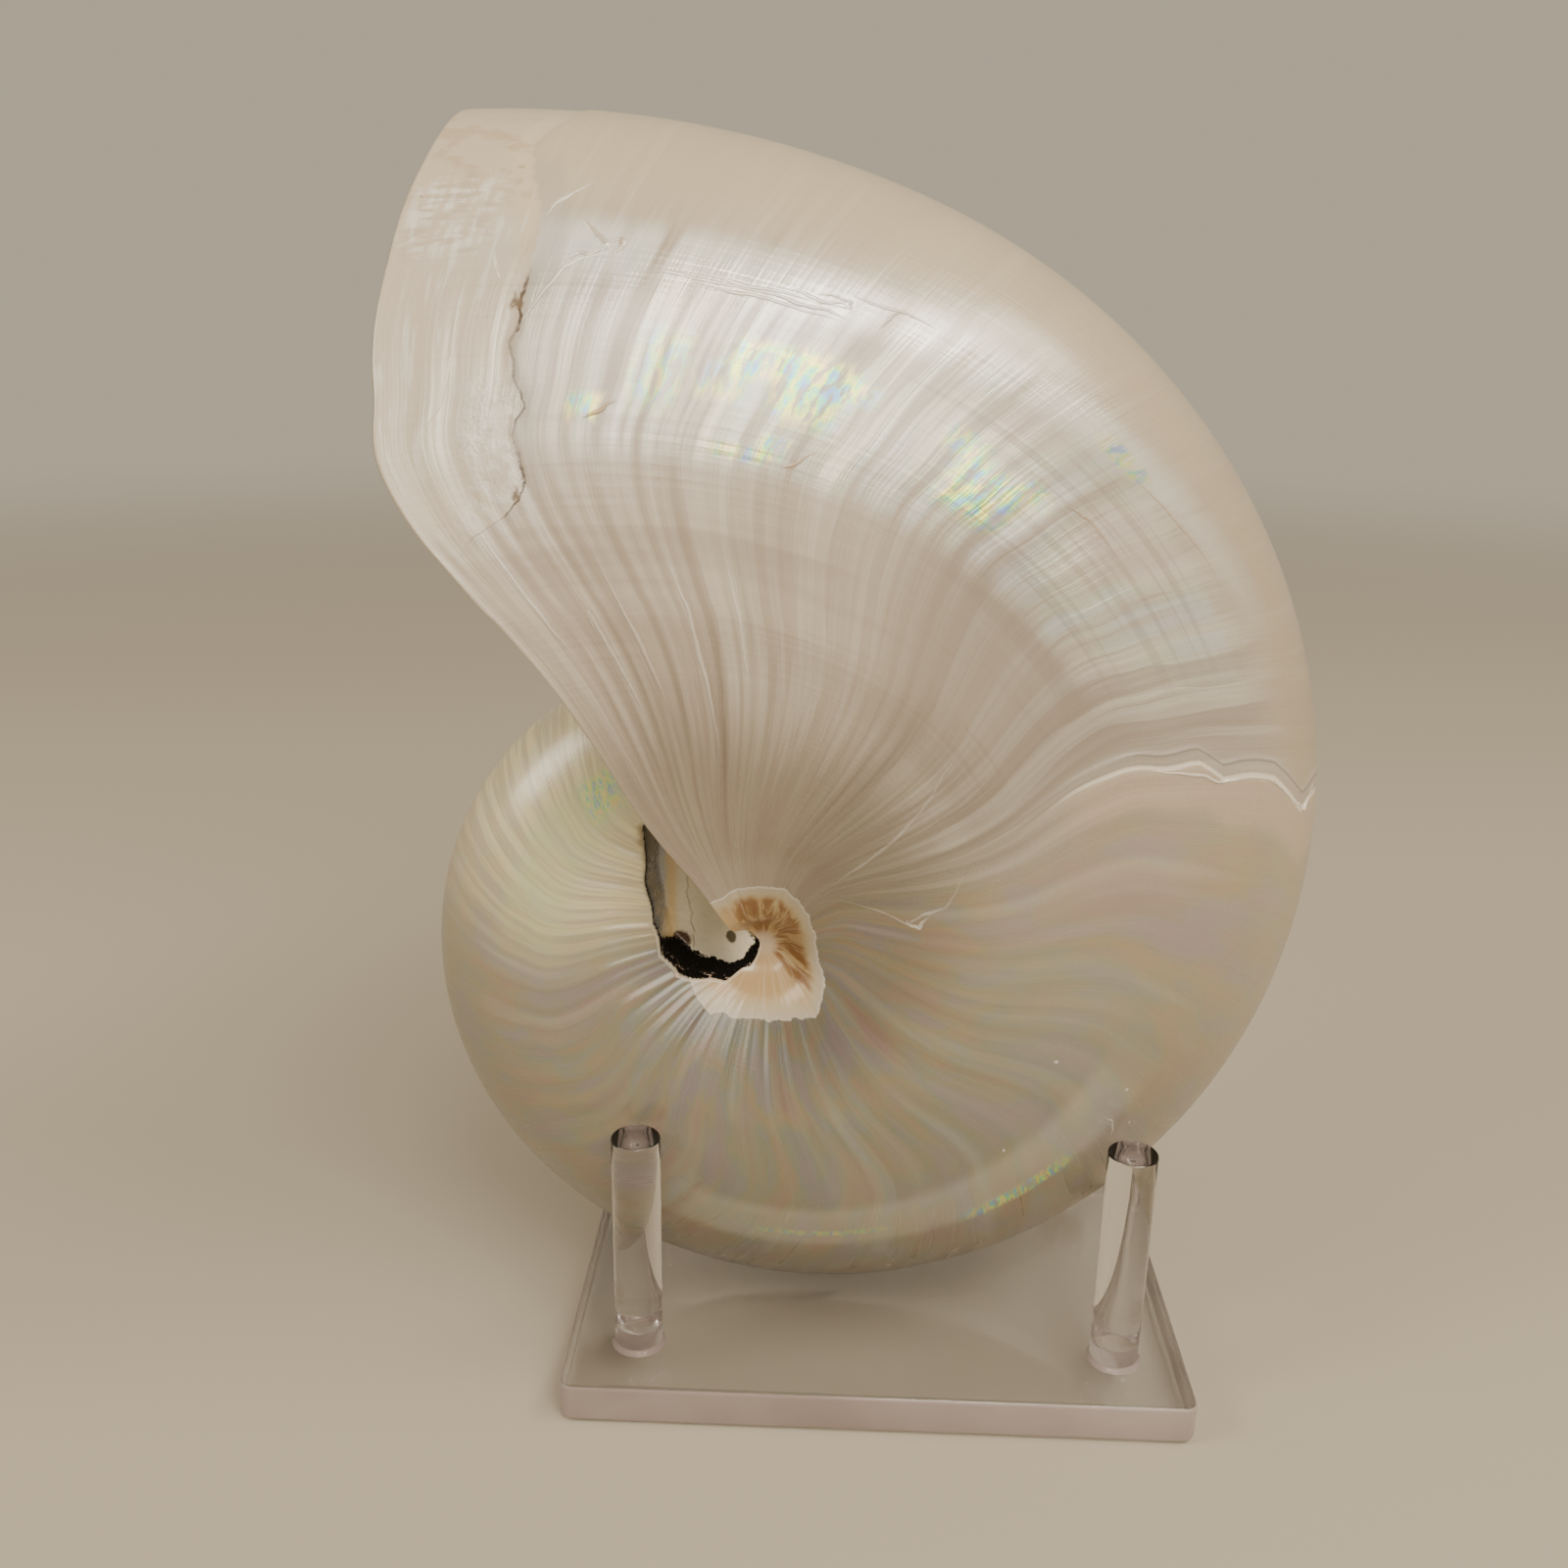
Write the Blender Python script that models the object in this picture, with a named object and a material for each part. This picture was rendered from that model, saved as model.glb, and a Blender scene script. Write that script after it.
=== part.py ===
"""Pearl nautilus shell resting between the four pegs of a clear display stand.

The shell is a planispiral coil that widens by the same factor in each turn. Its axis lies
along Y, its opening faces -X. The origin is on the table, under the middle of the base plate.
Lengths are in metres, angles in degrees.
"""

import math

import bmesh
import bpy
import numpy as np
from mathutils import Euler, Matrix, Vector

# --- Stand: a base plate with four round pegs ---------------------------------------------
BASE_WIDTH = 0.1030
BASE_DEPTH = 0.0776
BASE_THICKNESS = 0.0068
BASE_CORNER_RADIUS = 0.0024
BASE_EDGE_BEVEL = 0.0008
PEG_DIAMETER = 0.00794
PEG_HEIGHT = 0.0387
PEG_SPACING_X = 0.0792
PEG_SPACING_Y = 0.0540
PEG_EDGE_BEVEL = 0.0003
PEG_SIDES = 32
TOUCH_GAP = 0.0003  # left between pieces that touch

# --- Coil of the shell --------------------------------------------------------------------
COIL_CENTRE = Vector((-0.02205, -0.0002, 0.0771))
COIL_YAW = 1.55
COIL_LEAN = -2.2  # the top leans away, onto the rear pegs
VENTER_RADIUS = 0.1262  # axis to keel at MOUTH_ANGLE
MOUTH_ANGLE = 112.0  # in XZ from +X, towards +Z
GROWTH = 0.171  # natural logarithm of the widening, for each radian
FLARE = 0.043  # extra radius at the mouth
FLARE_START = 34.4  # how far behind the mouth the flare begins

# --- Whorl section, as shares of the venter radius ----------------------------------------
SHOULDER_RADIUS = 0.472  # where the whorl is widest
HALF_WIDTH = 0.332
VENTER_ROUNDNESS = 0.858
FLANK_ROUNDNESS = 1.011
UMBILICUS_DROP = 0.69
UMBILICUS_POWER = 1.5
SECTION_END = 1.93  # 0 at the keel, 1 at the shoulder, 2 on the axis

# Edge of the mouth, keel to axis: (place on the section, angle)
LIP = (
    (0.0, 109.2), (0.25, 110.3), (0.5, 114.0), (0.75, 120.0), (0.9, 123.3),
    (1.05, 121.3), (1.3, 120.6), (1.6, 124.3), (1.93, 131.0),
)

# --- Inside of the shell ------------------------------------------------------------------
WALL = 0.0018
CHAMBER_LENGTH = 128.0  # body chamber, from the mouth back to the last septum
SEPTUM_DEPTH = 15.0  # how far the bowl of the septum reaches back
FIRST_ANGLE = -410.0  # where the modelled coil begins, inside the closed chambers
SEAM_ANGLE = -68.0  # where the inner and the outer stretch meet
STEP = 7.5  # between rings
CALLUS_RADIUS = 0.0130
CALLUS_HALF_LENGTH = 0.0078
PIT_FLOOR = 0.0062  # from the middle plane to the floor of the umbilical pit
PIT_TOP = 0.0300

# Rim of the umbilical pit round the coil's axis, in metres (X, Z)
PIT_RIM = (
    (-0.0120, 0.0215), (-0.0176, 0.0165), (-0.0175, 0.0080), (-0.0158, -0.0004),
    (-0.0148, -0.0050), (-0.0122, -0.0084), (-0.0046, -0.0102), (-0.0006, -0.0090),
    (0.0010, -0.0050), (-0.0010, 0.0010),
)


def clear_scene():
    for obj in list(bpy.data.objects):
        bpy.data.objects.remove(obj, do_unlink=True)


def material(name, colour, roughness, metallic=0.0, transmission=0.0, ior=1.5):
    made = bpy.data.materials.new(name)
    made.use_nodes = True
    shader = made.node_tree.nodes["Principled BSDF"]
    shader.inputs["Base Color"].default_value = (*colour, 1.0)
    shader.inputs["Roughness"].default_value = roughness
    shader.inputs["Metallic"].default_value = metallic
    shader.inputs["Transmission Weight"].default_value = transmission
    shader.inputs["IOR"].default_value = ior
    return made


def add_object(name, mesh, finish=None):
    obj = bpy.data.objects.new(name, mesh)
    bpy.context.scene.collection.objects.link(obj)
    mesh.shade_smooth()
    mesh.set_sharp_from_angle(angle=math.radians(35))
    if finish:
        mesh.materials.append(finish)
    else:
        obj.hide_render = True
        obj.display_type = "WIRE"
    return obj


# --- Coil geometry ------------------------------------------------------------------------
def venter_radius(angle):
    """Axis to keel at an angle, with the flare near the mouth."""
    turned = math.radians(angle - MOUTH_ANGLE)
    past = max(0.0, 1.0 + (angle - MOUTH_ANGLE) / FLARE_START)
    return VENTER_RADIUS * math.exp(GROWTH * turned) * (1.0 + FLARE * past**2)


def section_point(place):
    """(radius, offset) on the whorl's outline, as shares of the venter radius."""
    v = abs(place)
    if v <= 1.0:
        a = v * math.pi / 2
        radius = SHOULDER_RADIUS + (1.0 - SHOULDER_RADIUS) * max(0.0, math.cos(a)) ** VENTER_ROUNDNESS
        offset = HALF_WIDTH * math.sin(a) ** FLANK_ROUNDNESS
    else:
        radius = SHOULDER_RADIUS * (2.0 - v)
        offset = HALF_WIDTH * (1.0 - UMBILICUS_DROP * (v - 1.0) ** UMBILICUS_POWER)
    return radius, math.copysign(offset, place)


def section_places():
    """Places from one umbilicus round the keel to the other, closer where it bends more."""
    half = [0.0, 0.18, 0.36, 0.53, 0.68, 0.82, 0.93, 1.03, 1.16, 1.32, 1.5, 1.7, SECTION_END]
    return [-v for v in reversed(half[1:])] + half


def lip_angle(place):
    places, angles = zip(*LIP)
    return float(np.interp(abs(place), places, angles))


def ring(angles, inset=0.0, shrink=1.0):
    """One ring of points round the whorl, with an angle for each place on the section."""
    places = section_places()
    outline = [section_point(v) for v in places]
    points = []
    for i, angle in enumerate(angles):
        size = venter_radius(angle)
        before = Vector(outline[max(i - 1, 0)])
        after = Vector(outline[min(i + 1, len(outline) - 1)])
        along = (after - before).normalized()
        inward = Vector((-along.y, along.x))
        flat = Vector(outline[i]) * size + inward * inset
        middle = Vector((0.56 * size, 0.0))
        flat = middle.lerp(flat, shrink)
        turn = math.radians(angle)
        points.append(Vector((flat.x * math.cos(turn), flat.y, flat.x * math.sin(turn))))
    return points


def loft(rings):
    """A closed mesh through the rings, each of which is itself closed."""
    bm = bmesh.new()
    rows = [[bm.verts.new(p) for p in points] for points in rings]
    for lower, upper in zip(rows, rows[1:]):
        for i in range(len(lower)):
            j = (i + 1) % len(lower)
            bm.faces.new((lower[i], lower[j], upper[j], upper[i]))
    bm.faces.new(rows[0])
    bm.faces.new(list(reversed(rows[-1])))
    bmesh.ops.triangulate(bm, faces=bm.faces[:])
    bmesh.ops.recalc_face_normals(bm, faces=bm.faces[:])
    mesh = bpy.data.meshes.new("loft")
    bm.to_mesh(mesh)
    bm.free()
    return mesh


def even_rings(first, last):
    """Flat rings from one angle to another."""
    count = round((last - first) / STEP)
    angles = np.linspace(first, last, count + 1)
    return [ring([float(a)] * len(section_places())) for a in angles]


def outer_stretch():
    """The half turn that ends at the lip: its rings bend over to the lip's own line."""
    count = round((MOUTH_ANGLE - SEAM_ANGLE) / STEP)
    rings = []
    for k in range(count + 1):
        share = k / count
        angles = [SEAM_ANGLE + (lip_angle(v) - SEAM_ANGLE) * share for v in section_places()]
        rings.append(ring(angles))
    return loft(rings)


def chamber_cutter():
    """The body chamber, from the bowl of the last septum out past the lip."""
    width = len(section_places())
    back = MOUTH_ANGLE - CHAMBER_LENGTH
    rings = []
    for k in range(1, 5):
        turn = k / 5 * math.pi / 2
        angle = back - SEPTUM_DEPTH * math.cos(turn)
        rings.append(ring([angle] * width, WALL, math.sin(turn)))
    count = round((MOUTH_ANGLE + 24.0 - back) / STEP)
    for angle in np.linspace(back, MOUTH_ANGLE + 24.0, count + 1):
        rings.append(ring([float(angle)] * width, WALL))
    return loft(rings)


def prism(outline, low, high):
    """A prism along Y over an outline in XZ."""
    bm = bmesh.new()
    face = bm.faces.new([bm.verts.new((x, low, z)) for x, z in outline])
    grown = bmesh.ops.extrude_face_region(bm, geom=[face])
    moved = [v for v in grown["geom"] if isinstance(v, bmesh.types.BMVert)]
    bmesh.ops.translate(bm, verts=moved, vec=(0.0, high - low, 0.0))
    bmesh.ops.recalc_face_normals(bm, faces=bm.faces[:])
    mesh = bpy.data.meshes.new("prism")
    bm.to_mesh(mesh)
    bm.free()
    return mesh


def callus():
    """The low dome of callus that closes the coil's axis on both sides."""
    bm = bmesh.new()
    bmesh.ops.create_uvsphere(bm, u_segments=20, v_segments=10, radius=1.0)
    bmesh.ops.rotate(bm, verts=bm.verts[:], matrix=Matrix.Rotation(math.pi / 2, 3, "X"))
    bmesh.ops.scale(bm, verts=bm.verts[:], vec=(CALLUS_RADIUS, CALLUS_HALF_LENGTH, CALLUS_RADIUS))
    mesh = bpy.data.meshes.new("callus")
    bm.to_mesh(mesh)
    bm.free()
    return mesh


def boolean(obj, tool, operation):
    modifier = obj.modifiers.new(tool.name, "BOOLEAN")
    modifier.operation = operation
    modifier.object = tool


def build_shell(finish):
    """Cuts the body chamber out of the outer stretch, then joins the inner stretch to it."""
    shell = add_object("nautilus_shell", outer_stretch(), finish)
    chamber = add_object("cut_chamber", chamber_cutter())
    inner = add_object("add_inner_whorl", loft(even_rings(FIRST_ANGLE, SEAM_ANGLE)))
    pits = [
        add_object("cut_pit_near", prism(PIT_RIM, -PIT_TOP, -PIT_FLOOR)),
        add_object("cut_pit_far", prism(PIT_RIM, PIT_FLOOR, PIT_TOP)),
    ]
    middle = add_object("add_callus", callus())
    for pit in pits:
        boolean(inner, pit, "DIFFERENCE")
    boolean(shell, chamber, "DIFFERENCE")
    boolean(shell, inner, "UNION")
    boolean(shell, middle, "UNION")
    turn = Euler((math.radians(COIL_LEAN), 0.0, math.radians(COIL_YAW)), "XYZ").to_matrix().to_4x4()
    for obj in (shell, chamber, inner, middle, *pits):
        obj.matrix_world = Matrix.Translation(COIL_CENTRE) @ turn
    return shell


# --- Stand geometry -----------------------------------------------------------------------
def build_base(finish):
    bm = bmesh.new()
    bmesh.ops.create_cube(bm, size=1.0)
    bmesh.ops.scale(bm, vec=(BASE_WIDTH, BASE_DEPTH, BASE_THICKNESS), verts=bm.verts[:])
    upright = [e for e in bm.edges if abs(e.verts[0].co.z - e.verts[1].co.z) > BASE_THICKNESS / 2]
    bmesh.ops.bevel(
        bm, geom=upright, offset=BASE_CORNER_RADIUS, segments=6, profile=0.5, affect="EDGES",
    )
    mesh = bpy.data.meshes.new("stand_base")
    bm.to_mesh(mesh)
    bm.free()
    base = add_object("stand_base", mesh, finish)
    base.location = (0.0, 0.0, BASE_THICKNESS / 2)
    soften(base, BASE_EDGE_BEVEL)


def soften(obj, width):
    bevel = obj.modifiers.new("edge", "BEVEL")
    bevel.width = width
    bevel.segments = 2
    bevel.limit_method = "ANGLE"
    bevel.angle_limit = math.radians(50)


def build_pegs(finish):
    bm = bmesh.new()
    bmesh.ops.create_cone(
        bm, cap_ends=True, segments=PEG_SIDES,
        radius1=PEG_DIAMETER / 2, radius2=PEG_DIAMETER / 2, depth=PEG_HEIGHT,
    )
    mesh = bpy.data.meshes.new("peg")
    bm.to_mesh(mesh)
    bm.free()
    for depth_name, side_y in (("front", -1), ("rear", 1)):
        for width_name, side_x in (("left", -1), ("right", 1)):
            peg = add_object(f"peg_{depth_name}_{width_name}", mesh.copy(), finish)
            peg.location = (
                side_x * PEG_SPACING_X / 2,
                side_y * PEG_SPACING_Y / 2,
                BASE_THICKNESS + TOUCH_GAP + PEG_HEIGHT / 2,
            )
            soften(peg, PEG_EDGE_BEVEL)


def main():
    clear_scene()
    nacre = material("polished nacre", (0.72, 0.66, 0.58), 0.3)
    acrylic = material("clear acrylic", (0.95, 0.95, 0.95), 0.05, transmission=1.0, ior=1.49)
    build_shell(nacre)
    build_base(acrylic)
    build_pegs(acrylic)


main()
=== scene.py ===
"""Pearl nautilus shell, polished to its nacre, resting on a clear four-peg stand.

The shell is one logarithmic coil. A flat grid holds, for every point, its age behind the lip in
degrees, how far it lies from the keel and its side; Geometry Nodes bend that grid into the coil.
"""
import math

import bmesh
import bpy
import numpy as np
from mathutils import Euler, Matrix, Vector
from mathutils.kdtree import KDTree


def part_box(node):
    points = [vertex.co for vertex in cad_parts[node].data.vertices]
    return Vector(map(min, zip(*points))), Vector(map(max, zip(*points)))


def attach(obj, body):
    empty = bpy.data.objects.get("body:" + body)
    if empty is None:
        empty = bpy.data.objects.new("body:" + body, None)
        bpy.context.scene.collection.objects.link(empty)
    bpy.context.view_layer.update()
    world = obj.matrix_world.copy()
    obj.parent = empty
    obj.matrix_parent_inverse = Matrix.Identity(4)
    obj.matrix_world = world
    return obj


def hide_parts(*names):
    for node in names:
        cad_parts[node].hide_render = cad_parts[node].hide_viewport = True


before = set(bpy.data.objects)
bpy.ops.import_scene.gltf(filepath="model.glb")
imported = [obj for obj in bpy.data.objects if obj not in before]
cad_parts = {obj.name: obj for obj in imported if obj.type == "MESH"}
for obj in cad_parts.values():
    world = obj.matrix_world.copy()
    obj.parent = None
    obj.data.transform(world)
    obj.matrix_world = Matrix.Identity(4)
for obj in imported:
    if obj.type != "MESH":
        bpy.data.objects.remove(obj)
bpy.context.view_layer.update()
SEED = 11

# Coil, in metres and degrees
COIL_CENTRE = Vector((-0.02205, -0.0002, 0.0771))
COIL_YAW = 1.55
COIL_LEAN = -2.2
VENTER_RADIUS = 0.1262
MOUTH_ANGLE = 112.0
GROWTH = 0.171
FLARE = 0.043
FLARE_START = 34.4

# Whorl section, in shares of the venter radius
SHOULDER_RADIUS = 0.472
HALF_WIDTH = 0.332
VENTER_ROUNDNESS = 0.858
FLANK_ROUNDNESS = 1.011
UMBILICUS_DROP = 0.69
UMBILICUS_POWER = 1.5
SHOULDER_SOFTNESS = 0.12

# Lip: (distance from the keel, angle of the lip there). 1 is the shoulder and 2 the axis.
LIP = ((0.0, 109.2), (0.25, 110.3), (0.5, 114.0), (0.75, 120.0), (0.9, 123.3),
       (1.05, 121.3), (1.3, 120.6), (1.6, 124.3), (1.93, 131.0), (2.0, 133.0))
LIP_LOW = 100.0
LIP_SPAN = 40.0
LIP_MIDDLE = 120.0
WALL = 0.0017
CHAMBER_LENGTH = 128.0
SEPTUM_DEPTH = 15.0
OLDEST = 520.0

# Umbilical pit: its rim round the coil's axis, in the coil's own X and Z
PIT_RIM = ((-0.0120, 0.0215), (-0.0176, 0.0165), (-0.0175, 0.0080), (-0.0158, -0.0004),
           (-0.0148, -0.0050), (-0.0122, -0.0084), (-0.0046, -0.0102), (-0.0006, -0.0090),
           (0.0010, -0.0050), (-0.0010, 0.0010), (-0.0006, 0.0080), (-0.0030, 0.0170))
PIT_FLOOR = 0.0060
PIT_WALL = 0.0012
PIT_OLDEST = 200.0
PIT_NEWEST = 345.0
AXIS_HEIGHT = 0.0100
AXIS_DROP = (0.0012, -0.0046)
AXIS_DROP_REACH = 0.016

# Relief of the surface, in metres
GROWTH_RELIEF = 0.00007
OLDER_RELIEF = 0.00010
RIB_RELIEF = 0.00016
LAYER_STEP = 0.00028
BREAK_GROOVE = 0.00022
BREAK_WELT = 0.00020

# Stand, in metres
PEGS = ("peg_front_left", "peg_front_right", "peg_rear_left", "peg_rear_right")
PLATE_CORNER = 0.0024
PLATE_EDGE = 0.0009
PEG_TOP_ROUND = 0.0003
PEG_TOP_DISH = 0.00006
CEMENT_WIDTH = 0.0005
CEMENT_HEIGHT = 0.0009
GROOVE_HEIGHT = 0.0041

# Callus round the axis: its scalloped edge, in the same X and Z
CALLUS_EDGE = ((-0.0112, 0.0060), (-0.0023, 0.0087), (0.0048, 0.0085), (0.0088, 0.0035),
               (0.0105, -0.0032), (0.0115, -0.0096), (0.0100, -0.0136), (0.0052, -0.0150),
               (-0.0013, -0.0152), (-0.0070, -0.0142), (-0.0100, -0.0106))

# Where the last layer ends behind the lip, and where an old break healed: (away, age)
HEALED_EDGE = ((0.0, 7.6), (0.21, 7.1), (0.30, 6.4), (0.34, 6.2), (0.41, 7.2), (0.52, 9.2),
               (0.60, 9.6), (0.70, 9.8), (0.75, 10.1), (0.80, 11.1), (0.89, 11.0), (0.905, 9.4),
               (0.925, 7.5), (0.95, 2.0), (1.0, -3.0))
BREAK_EDGE = ((0.0, 95.0), (0.25, 95.6), (0.36, 97.0), (0.41, 96.0), (0.49, 93.9), (0.60, 93.9),
              (0.645, 94.4), (0.70, 92.2), (0.78, 92.6), (0.88, 92.0), (1.0, 91.2), (1.3, 93.0))

# Painted highlights: iridescent bright spots painted into the pearl's colour: (age, away, half its age,
# half its width, strength)
PAINTED_GLINTS = ((30.0, 0.700, 3.4, 0.032, 0.9), (34.6, 0.725, 3.4, 0.060, 1.0),
          (27.0, 0.745, 2.4, 0.03, 0.6), (34.0, 0.820, 1.6, 0.018, 0.9),
          (31.0, 0.836, 3.0, 0.012, 0.7), (38.5, 0.705, 1.8, 0.02, 0.6),
          (53.5, 0.755, 4.2, 0.050, 1.0), (49.0, 0.70, 2.4, 0.026, 0.6), (57.5, 0.70, 2.2, 0.02, 0.6),
          (16.4, 0.800, 1.6, 0.020, 0.9), (58.7, 0.522, 3.0, 0.024, 0.6), (21.5, 0.740, 2.4, 0.060, 0.6),
          (161.6, 0.656, 9.0, 0.022, 0.9), (196.0, 0.700, 12.0, 0.012, 0.4),
          (342.0, 0.760, 6.0, 0.090, 0.7))


# ---------------------------------------------------------------- node trees
class Value:
    """A node's output. Arithmetic on it adds Math nodes, so a formula reads as one."""

    def __init__(self, nodes, socket):
        self.nodes = nodes
        self.socket = socket

    def math(self, operation, *others):
        return self.nodes.add("ShaderNodeMath", {"operation": operation}, [self, *others])

    def __add__(self, other):
        return self.math("ADD", other)

    def __radd__(self, other):
        return self.math("ADD", other)

    def __sub__(self, other):
        return self.math("SUBTRACT", other)

    def __rsub__(self, other):
        return self.nodes.add("ShaderNodeMath", {"operation": "SUBTRACT"}, [other, self])

    def __mul__(self, other):
        return self.math("MULTIPLY", other)

    def __rmul__(self, other):
        return self.math("MULTIPLY", other)

    def __truediv__(self, other):
        return self.math("DIVIDE", other)

    def __rtruediv__(self, other):
        return self.nodes.add("ShaderNodeMath", {"operation": "DIVIDE"}, [other, self])

    def __pow__(self, other):
        return self.math("POWER", other)

    def __neg__(self):
        return self.math("MULTIPLY", -1.0)

    def least(self, other):
        return self.math("MINIMUM", other)

    def most(self, other):
        return self.math("MAXIMUM", other)

    def ramp(self, low, high):
        """0 below low and 1 above high, with a soft passage between them."""
        if low > high:
            return 1.0 - self.ramp(high, low)
        settings = {"interpolation_type": "SMOOTHSTEP", "clamp": True}
        sockets = {"Value": self, "From Min": low, "From Max": high}
        return self.nodes.add("ShaderNodeMapRange", settings, sockets)

    def band(self, centre, half, soft):
        """1 within half of centre, 0 further than half + soft."""
        return (self - centre).math("ABSOLUTE").ramp(half + soft, half)


class Nodes:
    """Adds nodes to one tree."""

    def __init__(self, tree):
        self.tree = tree
        tree.nodes.clear()

    def add(self, kind, settings=None, sockets=None, output=0):
        node = self.tree.nodes.new(kind)
        for name, setting in (settings or {}).items():
            if name == "stops":
                self.set_stops(node.color_ramp, setting)
            elif name == "curve":
                self.set_curve(node.mapping, setting)
            else:
                setattr(node, name, setting)
        named = sockets.items() if isinstance(sockets, dict) else enumerate(sockets or [])
        for name, entry in named:
            socket = self.find(node.inputs, name)
            if isinstance(entry, Value):
                self.tree.links.new(entry.socket, socket)
            else:
                socket.default_value = entry
        if not node.outputs:
            return node
        return Value(self, self.find(node.outputs, output))

    @staticmethod
    def find(sockets, name):
        if isinstance(name, int):
            return sockets[name]
        for socket in sockets:
            if socket.identifier == name:
                return socket
        return sockets[name]

    @staticmethod
    def set_stops(ramp, stops):
        while len(ramp.elements) < len(stops):
            ramp.elements.new(0.5)
        for element, (place, colour) in zip(ramp.elements, stops):
            element.position = place
            element.color = (*colour, 1.0)

    @staticmethod
    def set_curve(mapping, points):
        curve = mapping.curves[0]
        while len(curve.points) < len(points):
            curve.points.new(0.5, 0.5)
        for point, (x, y) in zip(curve.points, points):
            point.location = (x, y)
            point.handle_type = "AUTO"
        mapping.update()

    def combine(self, x, y, z):
        return self.add("ShaderNodeCombineXYZ", None, [x, y, z])

    def mix(self, factor, a, b, blend="MIX"):
        settings = {"data_type": "RGBA", "blend_type": blend, "clamp_factor": True}
        sockets = {"Factor_Float": factor, "A_Color": paint(a), "B_Color": paint(b)}
        return self.add("ShaderNodeMix", settings, sockets, "Result_Color")

    def noise(self, vector, scale, detail=3.0, roughness=0.5, distortion=0.0):
        sockets = {"Vector": vector, "Scale": scale, "Detail": detail,
                   "Roughness": roughness, "Distortion": distortion}
        return self.add("ShaderNodeTexNoise", None, sockets)

    def attribute(self, name):
        return self.add("ShaderNodeAttribute", {"attribute_name": name}, None, "Fac")


def paint(colour):
    return (*colour, 1.0) if isinstance(colour, tuple) and len(colour) == 3 else colour


def new_material(name):
    material = bpy.data.materials.new(name)
    material.use_nodes = True
    return material, Nodes(material.node_tree)


# ---------------------------------------------------------------- shell shape
def shell_grid():
    """(rows, columns) of the flat grid: a row is (age, inset, shrink), a column (away, side)."""
    outer = [OLDEST]
    while outer[-1] > 0.0:
        age = outer[-1]
        if age > 400:
            step = 6.0
        elif age > 350:
            step = 2.0
        elif age > 100:
            step = 1.15
        elif age <= 16 or 87 < age < 98:
            step = 0.3
        elif age <= 40:
            step = 0.42
        else:
            step = 0.8
        outer.append(max(0.0, age - step))
    rows = [(OLDEST + 6.0, 0.0, 0.0), (OLDEST + 3.0, 0.0, 0.5)]
    rows += [(age, 0.0, 1.0) for age in outer]
    forward = math.degrees(WALL / 2 / VENTER_RADIUS)
    for turn in range(30, 180, 30):
        angle = math.radians(turn)
        rows.append((-forward * math.sin(angle), WALL / 2 * (1 - math.cos(angle)), 1.0))
    inner = np.linspace(0.0, CHAMBER_LENGTH, 48)
    rows += [(age, WALL, 1.0) for age in inner]
    rows += [(CHAMBER_LENGTH, WALL, shrink) for shrink in np.linspace(0.97, 0.0, 14)]
    near = [(away, -1.0) for away in np.linspace(2.0, 0.0, 116)]
    far = [(away, 1.0) for away in np.linspace(0.0, 2.0, 56)[1:]]
    return rows, near + far


def grid_object(rows, columns):
    """The flat grid, with each point's age, inset, shrink, away and side as attributes."""
    width = len(columns)
    count = len(rows) * width
    verts = [(i, j, 0.0) for i in range(len(rows)) for j in range(width)]
    faces = []
    for i in range(len(rows) - 1):
        for j in range(width - 1):
            a = i * width + j
            faces.append((a, a + 1, a + width + 1, a + width))
    table = {
        "age": [row[0] for row in rows for _ in columns],
        "inset": [row[1] for row in rows for _ in columns],
        "shrink": [row[2] for row in rows for _ in columns],
        "away": [column[0] for _ in rows for column in columns],
        "side": [column[1] for _ in rows for column in columns],
        "scar": [0.0] * count,
        "ribbon": [0.0] * count,
    }
    add_scars(verts, faces, table)
    mesh = bpy.data.meshes.new("shell grid")
    mesh.from_pydata(verts, [], faces)
    for name, values in table.items():
        layer = mesh.attributes.new(name, "FLOAT", "POINT")
        layer.data.foreach_set("value", values)
    thing = bpy.data.objects.new("nautilus_shell_body", mesh)
    bpy.context.scene.collection.objects.link(thing)
    return thing
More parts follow.
